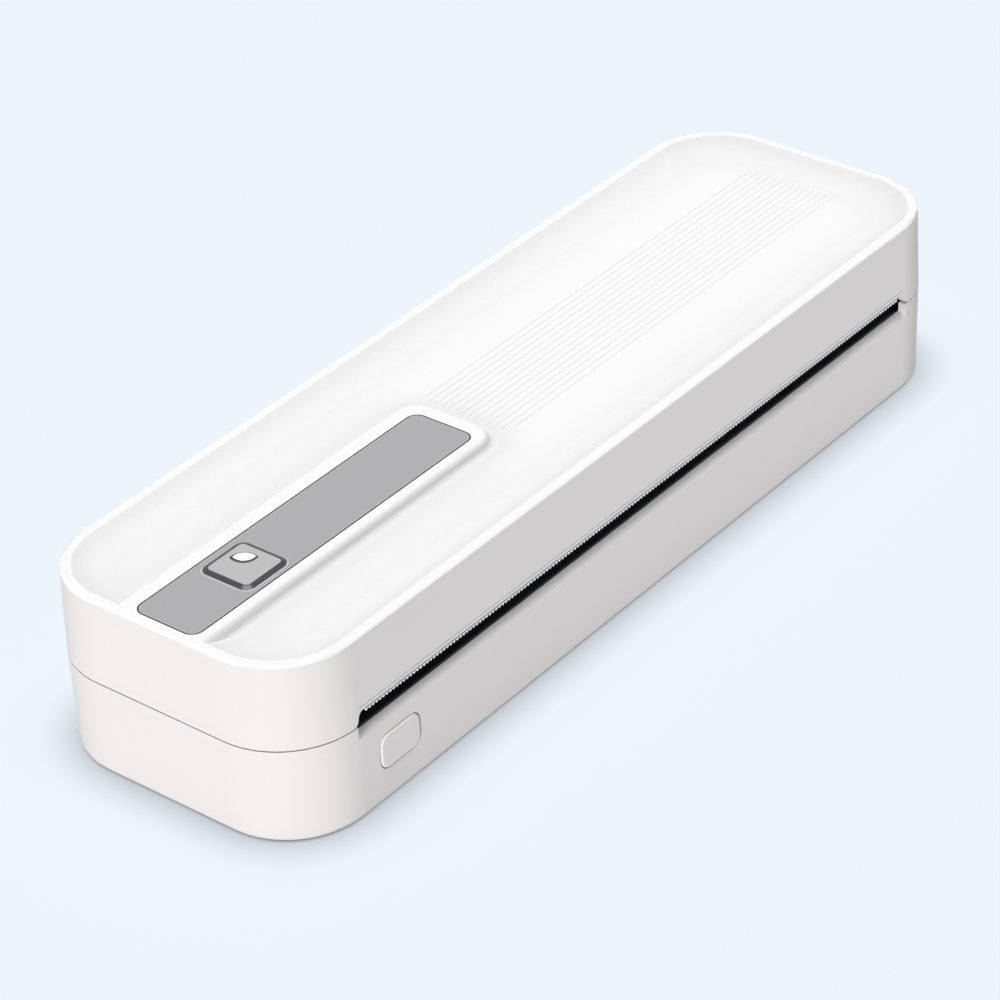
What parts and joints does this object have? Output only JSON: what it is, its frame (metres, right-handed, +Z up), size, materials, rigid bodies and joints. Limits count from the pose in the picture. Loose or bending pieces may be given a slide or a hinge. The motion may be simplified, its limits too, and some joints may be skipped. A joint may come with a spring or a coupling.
{
  "type": "portable thermal printer",
  "caption": "Long, low white A4 thermal printer with a dished top, a grey button panel, a front paper slot with a tear bar and a back-hinged cover over the platen.",
  "frame": {"origin": "centre of the body's plan, on the surface the rubber feet stand on", "axes": "+X along the body towards the gear end, -Y out of the paper slot at the front, +Z up"},
  "size_m": [0.2644, 0.0812, 0.0489],
  "materials": {
    "white_shell": "fine matte moulded",
    "black_plastic": "fine matte moulded",
    "foot_rubber": "matte",
    "screw_steel": "zinc plated",
    "board_green": "solder resist",
    "cell_blue": "shrink sleeve",
    "sheet_steel": "zinc plated",
    "gear_plastic": "natural acetal",
    "brass": "turned",
    "platen_rubber": "ground smooth",
    "shaft_steel": "ground",
    "aluminium": "extruded",
    "ceramic": "glazed",
    "cable": "film",
    "panel_grey": "satin",
    "bezel_grey": "satin",
    "cap_silver": "silver satin",
    "light_white": "clear, lit from behind",
    "spring_steel": "drawn wire"
  },
  "bodies": {
    "base": {"lower_housing": "white_shell", "front_guide": "black_plastic", "paper_deck": "black_plastic", "rubber_feet": "foot_rubber", "base_screws": "screw_steel", "main_board": "board_green", "usb_port": "shaft_steel", "battery_cells": "cell_blue", "stepper_motor": "sheet_steel", "gear_bracket": "sheet_steel", "left_bracket": "sheet_steel", "platen_bushes": "gear_plastic", "gear_stud": "shaft_steel", "hinge_pins": "shaft_steel", "paper_sensor": "black_plastic", "head_cable": "cable", "release_spring": "spring_steel"},
    "platen": {"platen_shaft": "shaft_steel", "platen_rubber": "platen_rubber", "platen_gear": "gear_plastic"},
    "compound": {"compound_gear": "gear_plastic"},
    "motor_rotor": {"motor_shaft": "shaft_steel", "motor_pinion": "brass"},
    "release": {"release_button": "white_shell", "latch_bar": "black_plastic"},
    "cover": {"upper_cover": "white_shell", "cover_liner": "black_plastic", "panel_plate": "panel_grey", "tear_bar": "sheet_steel", "button_bezel": "bezel_grey", "button_board": "board_green", "cover_screws": "screw_steel", "head_pivot_rod": "shaft_steel", "head_springs": "spring_steel"},
    "power_cap": {"power_button": "cap_silver", "power_light": "light_white"},
    "print_head": {"head_heatsink": "aluminium", "head_ceramic": "ceramic", "head_board": "board_green"}
  },
  "joints": [
    {"name": "cover_hinge", "type": "hinge", "parent": "base", "child": "cover", "pos_m": [0, 0.0379, 0.0258], "axis": [-1, 0, 0], "range_deg": [0, 70], "deforming": ["head_cable"]},
    {"name": "power_press", "type": "slide", "parent": "cover", "child": "power_cap", "axis": [0, 0, -1], "range_m": [0, 0.0005], "stiffness_N_per_m": 800, "springref_m": -0.001},
    {"name": "release_press", "type": "slide", "parent": "base", "child": "release", "axis": [0, 1, 0], "range_m": [0, 0.002], "stiffness_N_per_m": 500, "springref_m": -0.001, "deforming": ["release_spring"]},
    {"name": "platen_spin", "type": "hinge", "parent": "base", "child": "platen", "pos_m": [0, -0.022, 0.0217], "axis": [1, 0, 0], "continuous": true},
    {"name": "compound_spin", "type": "hinge", "parent": "base", "child": "compound", "pos_m": [0.115, -0.01317, 0.0166], "axis": [1, 0, 0], "continuous": true},
    {"name": "motor_spin", "type": "hinge", "parent": "base", "child": "motor_rotor", "pos_m": [0.11, 0.00054, 0.0122], "axis": [1, 0, 0], "continuous": true},
    {"name": "head_pivot", "type": "hinge", "parent": "cover", "child": "print_head", "pos_m": [0, -0.001, 0.031], "axis": [-1, 0, 0], "range_deg": [0, 3], "stiffness_Nm_per_rad": 3, "springref_deg": -5.73, "deforming": ["head_springs"]}
  ],
  "couplings": [
    {"joint": "compound_spin", "follows": "platen_spin", "ratio": -1.4286},
    {"joint": "motor_spin", "follows": "platen_spin", "ratio": 4.2857}
  ]
}
